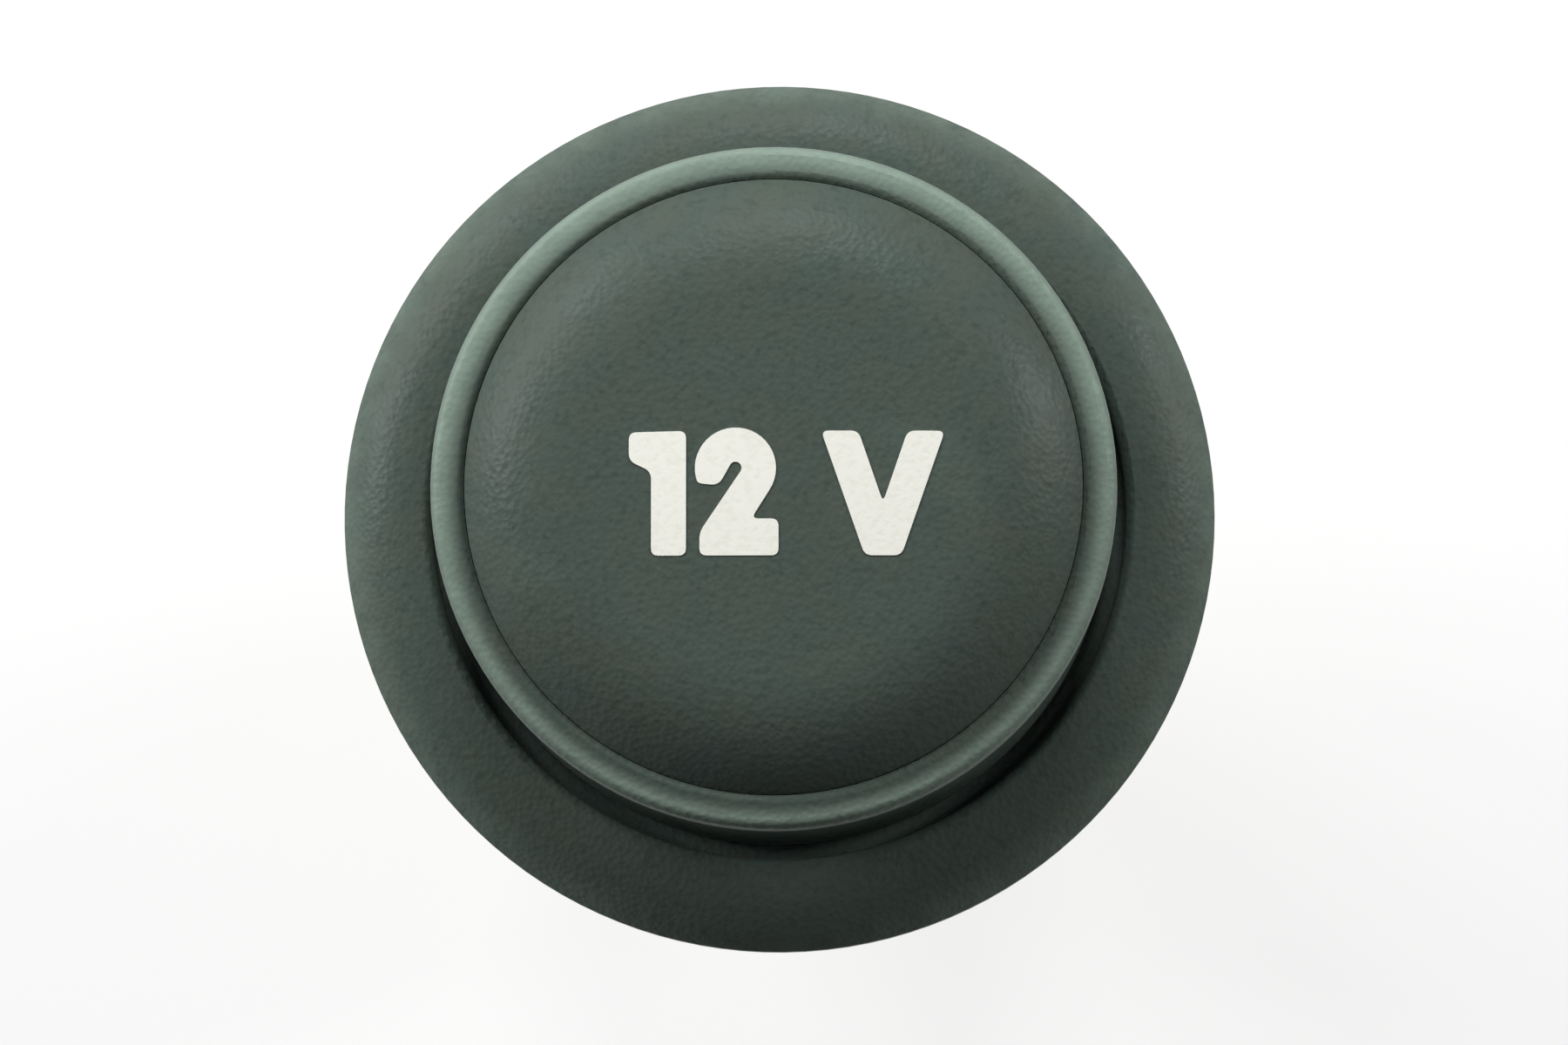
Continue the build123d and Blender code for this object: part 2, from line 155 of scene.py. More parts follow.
def colour(name, description, default):
    """Linear colour."""
    return FloatVectorProperty(
        name=name, description=description, default=default, subtype="COLOR", size=3, min=0.0, max=1.0
    )


class MouldedFinish(bpy.types.PropertyGroup):
    """Grained dark plastic of the cap and the bezel"""

    cap_colour: colour("Cap", "Base colour of the cap", slot_colour("cap_plastic"))
    bezel_colour: colour("Bezel", "Base colour of the bezel", slot_colour("bezel_plastic"))
    tint_size: length("Tint size", "Size of the patches where the tint drifts", 2.6 * MM)
    tint_spread: share("Tint spread", "How far the tint drifts from the base colour", 0.035)
    speckle_size: length("Speckle size", "Size of the fine speckle in the grain", 0.34 * MM)
    speckle_spread: share("Speckle spread", "How far the fine speckle darkens", 0.12)
    speckle_lift: share("Speckle lift", "How far the fine speckle pales", 0.008)
    grain_size: length("Grain size", "Size of the moulded grain", 0.26 * MM)
    grain_depth: length("Grain depth", "Depth of the moulded grain", 0.02 * MM)
    roughness: share("Roughness", "Roughness of the grained plastic", 0.38)
    roughness_drift: share("Roughness drift", "How far the roughness drifts with the tint", 0.04)
    gloss: share("Gloss", "Specular level of the plastic", 0.085)


class RubbedAndHighlightedPlastic(bpy.types.PropertyGroup):
    """Places where the cap and the bezel are paled: worn plastic in patches on the face, and on the
    rim and the flange's roll worn plastic together with a painted highlight, which on the rim is wider
    and stronger towards the top
    """

    strength: share("Strength", "How far the plastic pales where it is rubbed", 0.9)
    # The pale tone stands for worn plastic and, on the rim and the flange's roll, for a painted
    # highlight.
    tone: channel_gains("Tone", "Rubbed plastic, as gains on the base colour", (4.0, 3.9, 3.75))
    roughness: share("Roughness", "Roughness of the rubbed plastic", 0.4)
    # Rim settings: the band is worn plastic with a painted highlight; the reaches and the lower share
    # paint it wider and stronger towards the top, lifting the groove's shade there.
    crest_inset: length("Rim inset", "Distance of the rim's crest from its outer edge", 0.32 * MM)
    lower_highlight_reach: length("Lower reach", "How far in from the crest the lower rim is rubbed", 0.65 * MM)
    upper_highlight_reach: length("Upper reach", "How far in from the crest the upper rim is rubbed", 1.15 * MM)
    outer_end: length("Outer end", "Distance outside the rim's edge where the rubbing ends", 0.12 * MM)
    outer_full: length("Outer full", "Distance inside the rim's edge where it is full", 0.2 * MM)
    depth_end: length("Depth end", "Depth below the rim's crest where the rubbing ends", 0.9 * MM)
    depth_full: length("Depth full", "Depth below the rim's crest where the rubbing is full", 0.4 * MM)
    lower_highlight_share: share("Lower share", "Strength at the bottom of the rim", 0.8)
    rim_patch: length("Rim patch", "Size of the uneven patches on the rim", 1.2 * MM)
    rim_least: share("Rim least", "Strength in the least rubbed patches of the rim", 0.8)
    face_patch: length("Face patch", "Size of the rubbed patches on the face", 6.0 * MM)
    face_most: share("Face most", "Strength in the most rubbed patches of the face", 0.12)
    # Flange settings: the pale roll is worn plastic with a painted highlight.
    flange_width: length("Flange width", "Width of the rubbed band on the flange's roll", 1.6 * MM)
    flange_low: length("Flange low", "Level where the flange's rubbing begins", 0.4 * MM)
    flange_high: length("Flange high", "Level where the flange's rubbing is full", 0.9 * MM)
    flange_patch: length("Flange patch", "Size of the uneven patches on the flange", 1.5 * MM)
    flange_least: share("Flange least", "Strength in the least rubbed patches of the flange", 0.1)
    flange_most: share("Flange most", "Strength in the most rubbed patches of the flange", 0.3)


class FaceMarking(bpy.types.PropertyGroup):
    """Voltage printed on the cap's face"""

    ink: colour("Ink", "Colour of the print", (0.86, 0.86, 0.79))
    cap_height: length("Height", "Height of the figures", 5.0 * MM)
    middle_x: offset("Middle X", "Middle of the print, to the right of the axis", 0.58 * MM)
    middle_y: offset("Middle Y", "Middle of the print, above the axis", -0.52 * MM)
    figure_space: length("Figure space", "Space between the two figures", 0.34 * MM)
    word_space: length("Word space", "Space between the figures and the letter", 1.7 * MM)
    corner: length("Corner", "Rounding of the corners", 0.3 * MM)
    film: length("Film", "Thickness of the ink above the face", 0.04 * MM)
    mesh_step: length("Mesh step", "Size of the cells that follow the face's curve", 0.4 * MM)
    thin_size: length("Thin size", "Size of the places where the film is thin", 0.3 * MM)
    thin_tone: channel_gains("Thin tone", "Thin film, as gains on the ink", (0.95, 0.95, 0.93))
    thin_relief: length("Thin relief", "Height of the film's unevenness", 0.004 * MM)
    pinhole_size: length("Pinhole size", "Size of the pinholes", 0.12 * MM)
    pinhole_tone: gain("Pinhole tone", "Pinholes, as a gain on the ink", 0.86)
    thin_roughness: share("Thin roughness", "Roughness where the film is thin", 0.5)
    full_roughness: share("Full roughness", "Roughness where the film is full", 0.6)
    gloss: share("Gloss", "Specular level of the ink", 0.3)


class MetalFinish(bpy.types.PropertyGroup):
    """Plated and plain metals of the receptacle and its contacts"""

    zinc: colour("Plating", "Colour of the plated receptacle", slot_colour("plated_steel"))
    brass: colour("Brass", "Colour of the contacts", slot_colour("contact_brass"))
    steel: colour("Steel", "Colour of the fasteners", slot_colour("fastener_steel"))
    streak_width: length("Streak width", "Width of the drawing streaks", 0.25 * MM)
    streak_length: length("Streak length", "Length of the drawing streaks", 6.0 * MM)
    streak_dark: gain("Dark streak", "Dark streaks, as a gain on the metal", 0.9)
    streak_bright: gain("Bright streak", "Bright streaks, as a gain on the metal", 1.03)
    ring_height: length("Height of rings", "Height of the rings that the drawing die leaves", 1.6 * MM)
    ring_squeeze: share("Squeeze of rings", "Squeeze across the axis; less draws them out more", 0.04)
    ring_dark: gain("Dark in rings", "Dark streaks in a dull ring, as a gain on the metal", 0.85)
    ring_bright: gain("Bright in rings", "Bright streaks in a dull ring, as a gain on the metal", 0.98)
    patch_size: length("Patch size", "Size of the dulled patches", 7.0 * MM)
    patch_tone: channel_gains("Patch tone", "Dulled patches, as gains on the metal", (0.93, 0.92, 0.9))
    scratch_depth: length("Scratch depth", "Depth of the fine scratches", 0.004 * MM)
    detail: layers("Detail", "Finer layers in streaks, rings and patches", 3.0)
    roughness: share("Roughness", "Roughness of bright metal", 0.28)
    dulled: share("Dulled roughness", "Roughness of dulled patches", 0.38)


class InsulatorFinish(bpy.types.PropertyGroup):
    """Nylon insulators and the rubber seal"""

    nylon: colour("Nylon", "Colour of the insulators", slot_colour("insulator_nylon"))
    flow_size: length("Flow size", "Size of the flow marks in the nylon", 5.0 * MM)
    flow_squeeze: share("Flow squeeze", "Squeeze along the axis; less draws them out more", 0.35)
    flow_tone: channel_gains("Flow tone", "Flow marks, as gains on the nylon", (0.92, 0.9, 0.84))
    flow_bright: gain("Flow bright", "Nylon between flow marks, as a gain", 1.02)
    roughness: share("Roughness", "Roughness of the nylon", 0.42)
    roughness_drift: share("Roughness drift", "How far the roughness varies over the pores", 0.06)
    translucence: share("Translucence", "Share of light that goes into the nylon", 0.15)
    scatter: channel_gains("Scatter", "How far each colour goes into the nylon", (1.0, 0.8, 0.5))
    scatter_depth: length("Scatter depth", "Depth that light goes into the nylon", 0.6 * MM)
    rubber: colour("Rubber", "Colour of the seal", slot_colour("seal_rubber"))
    bloom_size: length("Bloom size", "Size of the dusty patches on the rubber", 1.5 * MM)
    bloom_detail: layers("Bloom detail", "Finer layers in the dusty patches", 4.0)
    bloom_tone: channel_gains("Bloom tone", "Dusty patches, as gains on the rubber", (1.9, 1.9, 1.8))
    rubber_roughness: share("Rubber roughness", "Roughness of the clean rubber", 0.72)
    bloom_roughness: share("Bloom roughness", "Roughness of the dusty rubber", 0.84)
    pore_size: length("Pore size", "Size of the fine surface texture", 0.18 * MM)
    pore_depth: length("Pore depth", "Depth of the fine surface texture", 0.006 * MM)
    gloss: share("Gloss", "Specular level of nylon and rubber", 0.3)


class StudThread(bpy.types.PropertyGroup):
    """Thread of the contact stud"""

    diameter: length("Diameter", "Outside diameter of the thread", 4.0 * MM)
    pitch: length("Pitch", "Rise of one turn", 0.7 * MM)
    depth: length("Depth", "Depth of the thread", 0.38 * MM)
    root_share: share("Root", "Share of the pitch that the flat root takes", 0.25)
    flank_share: share("Flank", "Share of the pitch that the two flanks take", 0.625)
    chamfer: length("Chamfer", "Chamfer at the stud's end", 0.5 * MM)
    segments: amount("Segments", "Sides of each ring", 72, 12)
    rings_per_turn: amount("Rings", "Rings in one turn", 14, 6)
    dome_rings: amount("Dome rings", "Rings in the dome of the head", 10, 2)
    sharp_angle: turn("Angle of sharp edges", "Bend above which an edge stays sharp", 32.0)


class StudioStage(bpy.types.PropertyGroup):
    """Floor, lamps and camera"""

    floor: colour("Floor", "Colour that the floor throws back on the part", (0.58, 0.58, 0.58))
    floor_seen: colour("Seen floor", "Colour of the floor where it is seen", (0.96, 0.96, 0.96))
    floor_radius: length("Floor radius", "Radius of the floor", 2.0)
    floor_segments: amount("Floor segments", "Sides of the floor", 96, 12)
    floor_lift: share("Floor lift", "How far the seen floor is lifted to white", 0.72)
    floor_roughness: share("Floor roughness", "Roughness of the floor", 0.9)
    paint_size: length("Paint size", "Size of the unevenness in the floor's paint", 30.0 * MM)
    paint_spread: share("Paint spread", "How far the floor's paint varies", 0.01)
    ambient: share("Ambient", "Light from all round", 0.015)
    lamp_distance: length("Lamp distance", "Distance of the soft boxes", 0.6)
    lamp_size: length("Lamp size", "Width of the soft boxes", 0.2)
    left_bearing: turn("Left bearing", "Turn of the left lamp from the right-hand side", 160.0)
    left_height: turn("Left height", "Elevation of the left lamp", 24.0)
    left_power: power("Left power", "Power of the left lamp", 2.2)
    upper_left_bearing: turn("Upper left bearing", "Turn of the upper left lamp", 134.0)
    upper_left_height: turn("Upper left height", "Elevation of the upper left lamp", 26.0)
    upper_left_power: power("Upper left power", "Power of the upper left lamp", 1.7)
    top_bearing: turn("Top bearing", "Turn of the top lamp", 88.0)
    top_height: turn("Top height", "Elevation of the top lamp", 34.0)
    top_power: power("Top power", "Power of the top lamp", 1.85)
    right_bearing: turn("Right bearing", "Turn of the right lamp", 22.0)
    right_height: turn("Right height", "Elevation of the right lamp", 25.0)
    right_power: power("Right power", "Power of the right lamp", 2.05)
    camera_distance: length("Camera distance", "Distance of the camera", 0.4)
    camera_dip: turn("Camera dip", "Lean of the view towards the lower side", 6.0)
    camera_slant: turn("Camera slant", "Lean of the view towards the right", 1.1)
    frame_width: length("Frame width", "Width of the view at the flange", 65.0 * MM)
    aim_x: offset("Camera aim X", "Point that the camera aims at, to the right of the axis", 0.18 * MM)
    aim_y: offset("Camera aim Y", "Point that the camera aims at, above the axis", -0.12 * MM)


class PowerSocketSettings(bpy.types.PropertyGroup):
    """All settings of the power socket"""

    moulded: PointerProperty(
        type=MouldedFinish, name="Moulded plastic", description="Plastic of the cap and the bezel"
    )
    # Worn plastic and painted highlights of the cap and the bezel.
    rubbing_and_highlight: PointerProperty(
        type=RubbedAndHighlightedPlastic, name="Rubbed plastic", description="Wear of the cap and the bezel"
    )
    marking: PointerProperty(type=FaceMarking, name="Marking", description="Print on the cap's face")
    metal: PointerProperty(type=MetalFinish, name="Metal", description="Receptacle and contacts")
    insulator: PointerProperty(
        type=InsulatorFinish, name="Insulators", description="Nylon insulators and the rubber seal"
    )
    thread: PointerProperty(type=StudThread, name="Thread", description="Thread of the contact stud")
    stage: PointerProperty(type=StudioStage, name="Stage", description="Floor, lamps and camera")


# Material nodes


def supply(tree, socket, value):
    """Links a socket to another one, or sets it."""
    if isinstance(value, bpy.types.NodeSocket):
        tree.links.new(value, socket)
    else:
        socket.default_value = value


def put(tree, kind, inputs=None, **settings):
    """Adds a node, with its settings, and with each input linked or set."""
    node = tree.nodes.new(kind)
    for name, value in settings.items():
        setattr(node, name, value)
    for name, value in (inputs or {}).items():
        supply(tree, node.inputs[name], value)
    return node


def feed(tree, shader, **sockets):
    """Links or sets the shader's sockets, named with underscores for spaces."""
    for name, value in sockets.items():
        supply(tree, shader.inputs[name.replace("_", " ")], value)


def place(tree):
    """Position on the part, in metres."""
    return put(tree, "ShaderNodeTexCoord").outputs["Object"]


def stretched(tree, where, factors):
    """Position scaled along each axis."""
    inputs = {0: where, 1: factors}
    return put(tree, "ShaderNodeVectorMath", inputs, operation="MULTIPLY").outputs["Vector"]


def from_axis(tree, where):
    """Distance from the socket's axis."""
    flat = stretched(tree, where, (1.0, 1.0, 0.0))
    return put(tree, "ShaderNodeVectorMath", {0: flat}, operation="LENGTH").outputs["Value"]


def height(tree, where):
    """Level along the socket's axis."""
    return put(tree, "ShaderNodeSeparateXYZ", {"Vector": where}).outputs["Z"]


def upward(tree, where):
    """Distance above the socket's axis, towards the top of the marked face."""
    return put(tree, "ShaderNodeSeparateXYZ", {"Vector": where}).outputs["Y"]


def noise(tree, where, size, detail=2.0):
    """Soft noise with features of about a size."""
    inputs = {"Vector": where, "Scale": 1.0 / size, "Detail": detail}
    return put(tree, "ShaderNodeTexNoise", inputs).outputs["Fac"]


def pebbles(tree, where, size):
    """Cells of about a size, as in moulded grain."""
    inputs = {"Vector": where, "Scale": 1.0 / size}
    return put(tree, "ShaderNodeTexVoronoi", inputs).outputs["Distance"]


def remap(tree, value, low, high, to_low=0.0, to_high=1.0):
    """Smooth step of a value from one span to another."""
    inputs = {"Value": value, "From Min": low, "From Max": high, "To Min": to_low, "To Max": to_high}
    return put(tree, "ShaderNodeMapRange", inputs, interpolation_type="SMOOTHSTEP").outputs["Result"]


def times(tree, first, second):
    """Product of two values."""
    inputs = {0: first, 1: second}
    return put(tree, "ShaderNodeMath", inputs, operation="MULTIPLY").outputs["Value"]


def plus(tree, first, second):
    """Sum of two values, held to one."""
    inputs = {0: first, 1: second}
    return put(tree, "ShaderNodeMath", inputs, operation="ADD", use_clamp=True).outputs["Value"]


def between(tree, factor, first, second):
    """Value between two values."""
    inputs = {"Factor": factor, "A": first, "B": second}
    return put(tree, "ShaderNodeMix", inputs, data_type="FLOAT").outputs["Result"]


def blended(tree, factor, first, second):
    """Colour between two colours. The mix node's colours are its sockets 6 and 7 in, and 2 out."""
    inputs = {0: factor, 6: first, 7: second}
    return put(tree, "ShaderNodeMix", inputs, data_type="RGBA").outputs[2]


def toned(base, *gains):
    """Colour with its channels scaled by one gain or by three, as RGBA."""
    gains = gains if len(gains) == 3 else gains * 3
    return (*(min(1.0, c * g) for c, g in zip(base, gains)), 1.0)


def bumped(tree, value, depth, under=None):
    """Normal raised by a value, over another normal where one is given."""
    inputs = {"Height": value, "Distance": depth, "Strength": 1.0}
    if under is not None:
        inputs["Normal"] = under
    return put(tree, "ShaderNodeBump", inputs).outputs["Normal"]


def new_material(name):
    """Empty node material, with its tree and surface shader."""
    material = bpy.data.materials.new(name)
    material.use_nodes = True
    tree = material.node_tree
    tree.nodes.clear()
    shader = put(tree, "ShaderNodeBsdfPrincipled")
    put(tree, "ShaderNodeOutputMaterial", {"Surface": shader.outputs["BSDF"]})
    return material, tree, shader


def moulded_plastic(name, base, finish, rubbing_and_highlight, wear_and_highlight):
    """Grained dark plastic with a drifting tint, paled where the given function says: worn patches,
    and on the rim and the flange's roll also a painted highlight.
    """
    material, tree, shader = new_material(name)
    where = place(tree)
    drift = remap(tree, noise(tree, where, finish.tint_size), *NOISE_SPAN)
    spread = finish.tint_spread
    cool = toned(base, 1 - spread, 1.0, 1.0)
    warm = toned(base, 1 + spread, 1.0, 1 - 2 * spread)
    tint = blended(tree, drift, cool, warm)
    speckle = remap(tree, noise(tree, where, finish.speckle_size), *SPECKLE_SPAN)
    dark = blended(tree, finish.speckle_spread, tint, BLACK)
    light = blended(tree, finish.speckle_lift, tint, WHITE)
    grained = blended(tree, speckle, dark, light)
    smoothest = finish.roughness - finish.roughness_drift
    roughest = finish.roughness + finish.roughness_drift
    rough = remap(tree, drift, 0.0, 1.0, smoothest, roughest)
    # Mask of worn plastic; on the rim and the flange's roll it also carries a painted highlight.
    paled = wear_and_highlight(tree, where, rubbing_and_highlight)
    pale = blended(tree, rubbing_and_highlight.strength, grained, toned(base, *rubbing_and_highlight.tone))
    grain = pebbles(tree, where, finish.grain_size)
    feed(
        tree,
        shader,
        Base_Color=blended(tree, paled, grained, pale),
        Roughness=between(tree, paled, rough, rubbing_and_highlight.roughness),
        Specular_IOR_Level=finish.gloss,
        Normal=bumped(tree, grain, finish.grain_depth),
    )
    return material


def rim_wear_and_highlight(tree, where, rubbing_and_highlight):
    """Pale crest of the knob's rim: worn plastic with a painted highlight. The highlight is painted
    wider and stronger towards the top, where it also lightens the groove's shade inside the rim.
    """
    across = from_axis(tree, where)
    edge = CAP_HIGH.x
    crest = edge - rubbing_and_highlight.crest_inset
    # Painted light: the band is wider towards the top of the rim, where it lightens the groove's
    # shade.
    upper = remap(tree, upward(tree, where), -CAP_HIGH.y, CAP_HIGH.y)
    reach = between(tree, upper, crest - rubbing_and_highlight.lower_highlight_reach, crest - rubbing_and_highlight.upper_highlight_reach)
    inner = remap(tree, across, reach, crest)
    outer = remap(tree, across, edge + rubbing_and_highlight.outer_end, edge - rubbing_and_highlight.outer_full)
    lowest, full = CAP_HIGH.z - rubbing_and_highlight.depth_end, CAP_HIGH.z - rubbing_and_highlight.depth_full
    top = remap(tree, height(tree, where), lowest, full)
    patchy = remap(tree, noise(tree, where, rubbing_and_highlight.rim_patch), *WIDE_SPAN, rubbing_and_highlight.rim_least, 1.0)
    # Painted shade: the band is weaker at the bottom of the rim; the noise patches make the worn band
    # uneven.
    paled = times(tree, between(tree, upper, rubbing_and_highlight.lower_highlight_share, 1.0), patchy)
    return times(tree, times(tree, times(tree, inner, outer), top), paled)


def face_wear(tree, where, rubbing_and_highlight):
    """Faint rubbing of the face, in patches."""
    return remap(tree, noise(tree, where, rubbing_and_highlight.face_patch), *RUBBED_SPAN, 0.0, rubbing_and_highlight.face_most)


def flange_wear_and_highlight(tree, where, rubbing_and_highlight):
    """Pale roll of the flange: worn plastic with a painted highlight."""
    edge = BEZEL_HIGH.x
    out = remap(tree, from_axis(tree, where), edge - rubbing_and_highlight.flange_width, edge)
    up = remap(tree, height(tree, where), rubbing_and_highlight.flange_low, rubbing_and_highlight.flange_high)
    patches = noise(tree, where, rubbing_and_highlight.flange_patch)
    patchy = remap(tree, patches, *WIDE_SPAN, rubbing_and_highlight.flange_least, rubbing_and_highlight.flange_most)
    return times(tree, times(tree, out, up), patchy)


def printed_ink(marking):
    """Flat print with fine pinholes and a slightly uneven film."""
    material, tree, shader = new_material("print_ink")
    where = place(tree)
    full = remap(tree, noise(tree, where, marking.thin_size), *INK_SPAN)
    film = blended(tree, full, toned(marking.ink, *marking.thin_tone), toned(marking.ink, 1.0))
    closed = remap(tree, noise(tree, where, marking.pinhole_size), *PINHOLE_SPAN)
    feed(
        tree,
        shader,
        Base_Color=blended(tree, closed, toned(marking.ink, marking.pinhole_tone), film),
        Roughness=remap(tree, full, 0.0, 1.0, marking.thin_roughness, marking.full_roughness),
        Specular_IOR_Level=marking.gloss,
        Normal=bumped(tree, full, marking.thin_relief),
    )
    return material


def drawn_metal(name, base, finish, axis_streaks):
    """Metal with drawing streaks and rings, dulled patches and fine scratches."""
    material, tree, shader = new_material(name)
    where = place(tree)
    squeeze = finish.streak_width / finish.streak_length
    along = (1.0, 1.0, squeeze) if axis_streaks else (1.0, squeeze, 1.0)
    lines = noise(tree, stretched(tree, where, along), finish.streak_width, finish.detail)
    streak = remap(tree, lines, *NOISE_SPAN)
    around = (finish.ring_squeeze, finish.ring_squeeze, 1.0)
    rings = noise(tree, stretched(tree, where, around), finish.ring_height, finish.detail)
    ring = remap(tree, rings, *NOISE_SPAN)
    patch = remap(tree, noise(tree, where, finish.patch_size, finish.detail), *DULLED_SPAN)
    bright = blended(tree, streak, toned(base, finish.streak_dark), toned(base, finish.streak_bright))
    dull = blended(tree, streak, toned(base, finish.ring_dark), toned(base, finish.ring_bright))
    drawn = blended(tree, ring, dull, bright)
    scratched = bumped(tree, lines, finish.scratch_depth)
    feed(
        tree,
        shader,
        Base_Color=blended(tree, patch, drawn, toned(base, *finish.patch_tone)),
        Metallic=1.0,
        Roughness=between(tree, patch, finish.roughness, finish.dulled),
        Normal=bumped(tree, rings, finish.scratch_depth, under=scratched),
    )
    return material


def natural_nylon(finish):
    """Slightly translucent nylon with flow marks."""
    material, tree, shader = new_material("natural_nylon")
    where = place(tree)
    along = stretched(tree, where, (1.0, 1.0, finish.flow_squeeze))
    flow = remap(tree, noise(tree, along, finish.flow_size), *NOISE_SPAN)
    marked, plain = toned(finish.nylon, *finish.flow_tone), toned(finish.nylon, finish.flow_bright)
    pore = noise(tree, where, finish.pore_size)
    smoothest = finish.roughness - finish.roughness_drift
    roughest = finish.roughness + finish.roughness_drift
    feed(
        tree,
        shader,
        Base_Color=blended(tree, flow, marked, plain),
        Roughness=remap(tree, pore, *NOISE_SPAN, smoothest, roughest),
        Specular_IOR_Level=finish.gloss,
        Subsurface_Weight=finish.translucence,
        Subsurface_Radius=finish.scatter,
        Subsurface_Scale=finish.scatter_depth,
        Normal=bumped(tree, pore, finish.pore_depth),
    )
    return material


def seal_rubber(finish):
    """Dull rubber with a faint dusty bloom."""
    material, tree, shader = new_material("seal_rubber")
    where = place(tree)
    bloom = remap(tree, noise(tree, where, finish.bloom_size, finish.bloom_detail), *BLOOM_SPAN)
    clean, dusty = toned(finish.rubber, 1.0), toned(finish.rubber, *finish.bloom_tone)
    pore = noise(tree, where, finish.pore_size)
    feed(
        tree,
        shader,
        Base_Color=blended(tree, bloom, clean, dusty),
        Roughness=remap(tree, bloom, 0.0, 1.0, finish.rubber_roughness, finish.bloom_roughness),
        Specular_IOR_Level=finish.gloss,
        Normal=bumped(tree, pore, finish.pore_depth),
    )
    return material


def dress(material, *names):
    """Gives CAD nodes a material."""
    for name in names:
        slots = NODES[name].data.materials
        slots.clear()
        slots.append(material)


# Meshes


def new_object(name, mesh_builder, material):
    """Object made from a finished bmesh."""
    mesh = bpy.data.meshes.new(name)
    mesh_builder.to_mesh(mesh)
    mesh_builder.free()
    mesh.materials.append(material)
    made = bpy.data.objects.new(name, mesh)
    bpy.context.scene.collection.objects.link(made)
    return made


def new_piece(name, mesh_builder, body, material):
    """Piece of the part made from a finished bmesh, riding on a body."""
    piece = new_object(name, mesh_builder, material)
    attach(piece, body)
    return piece


def arc_points(middle, radius, start, end, count=28):
    """Points along an arc, between two angles in degrees."""
    angles = [math.radians(start + (end - start) * i / count) for i in range(count + 1)]
    return [(middle[0] + radius * math.cos(a), middle[1] + radius * math.sin(a)) for a in angles]


def figure_one():
    """Outline and width of the figure 1, with its height as the unit."""
    width, stem, flag, flag_top, throat = 0.457, 0.178, 0.762, 0.99, 0.676
    outline = [
        (width, 0.0),
        (width, 1.0),
        (0.0, flag_top),
        (0.0, flag),
        (stem, throat),
        (stem, 0.0),
    ]
    return outline, width


def figure_two():
    """Outline and width of the figure 2, with its height as the unit and its turns in degrees."""
    width, bar, neck, heel, foot = 0.671, 0.295, 0.453, 0.188, 0.04
    middle, outside, inside = (0.327, 0.702), 0.324, 0.049
    hook, hook_outside, hook_inside, neck_turn = (0.193, 0.564), 202.5, 150.6, -34.0
    outline = arc_points(middle, outside, hook_outside, neck_turn)
    outline += [(neck, bar), (width, bar), (width, 0.0), (foot, 0.0), (foot, heel)]
    outline += arc_points(middle, inside, neck_turn, hook_inside)
    outline.append(hook)
    return outline, width


def letter_v():
    """Outline and width of the letter V, with its height as the unit."""
    width, arm, foot, notch = 0.988, 0.297, 0.292, 0.424
    middle = width / 2
    outline = [
        (0.0, 1.0),
        (middle - foot / 2, 0.0),
        (middle + foot / 2, 0.0),
        (width, 1.0),
        (width - arm, 1.0),
        (middle, notch),
        (arm, 1.0),
    ]
    return outline, width


def softened(outline, corner, steps=5, sharpest=25.0, most=0.45):
    """Outline with its sharp corners rounded, each by at most a share of the sides that meet there."""
    soft = []
    for i, point in enumerate(outline):
        here = Vector(point)
        back = Vector(outline[i - 1]) - here
        ahead = Vector(outline[(i + 1) % len(outline)]) - here
        bend = 180.0 - math.degrees(back.angle(ahead))
        if bend < sharpest:
            soft.append(here)
            continue
        start = here + back.normalized() * min(corner, most * back.length)
        end = here + ahead.normalized() * min(corner, most * ahead.length)
        for k in range(steps + 1):
            t = k / steps
            soft.append(start * (1 - t) ** 2 + here * 2 * t * (1 - t) + end * t**2)
    return soft


def diced(pad, step):
    """Cuts a flat bmesh along a square grid, so that it can follow a curve."""
    for axis, normal in enumerate((Vector((1.0, 0.0, 0.0)), Vector((0.0, 1.0, 0.0)))):
        low = min(v.co[axis] for v in pad.verts)
        high = max(v.co[axis] for v in pad.verts)
        for i in range(1, int((high - low) / step) + 1):
            geometry = pad.verts[:] + pad.edges[:] + pad.faces[:]
            cut = normal * (low + i * step)
            bmesh.ops.bisect_plane(pad, geom=geometry, plane_co=cut, plane_no=normal)
    bmesh.ops.triangulate(pad, faces=pad.faces[:])


def printed_glyph(name, outline, left, marking, material):
    """Thin pad of ink that follows the curve of the cap's face."""
    size = marking.cap_height
    base_y = marking.middle_y - size / 2
    flat = [(left + x * size, base_y + y * size) for x, y in outline]
    pad = bmesh.new()
    pad.faces.new([pad.verts.new((x, y, 0.0)) for x, y in softened(flat, marking.corner)])
    diced(pad, marking.mesh_step)
    above = FACE_HIGH.z + size
    for vert in pad.verts:
        start = Vector((vert.co.x, vert.co.y, above))
        found, surface, _, _ = NODES["cap_face"].ray_cast(start, Vector((0.0, 0.0, -1.0)))
        if not found:
            raise RuntimeError(f"{name} reaches past the cap's face")
        vert.co.z = surface.z
    bmesh.ops.recalc_face_normals(pad, faces=pad.faces[:])
    raised = bmesh.ops.extrude_face_region(pad, geom=pad.faces[:])
    top = [item for item in raised["geom"] if isinstance(item, bmesh.types.BMVert)]
    bmesh.ops.translate(pad, verts=top, vec=(0.0, 0.0, marking.film))
    bmesh.ops.recalc_face_normals(pad, faces=pad.faces[:])
    return new_piece(name, pad, "cap", material)


def thread_radius(thread, angle, level, end):
    """Radius of a threaded stud at an angle and a level, with its end chamfered."""
    phase = (level / thread.pitch - angle / math.tau) % 1.0
    from_root = abs(phase - 0.5) * 2.0
    flank = min(1.0, max(0.0, (from_root - thread.root_share) / thread.flank_share))
    outside = thread.diameter / 2
    return min(outside - thread.depth * (1.0 - flank), outside - thread.chamfer + level - end)


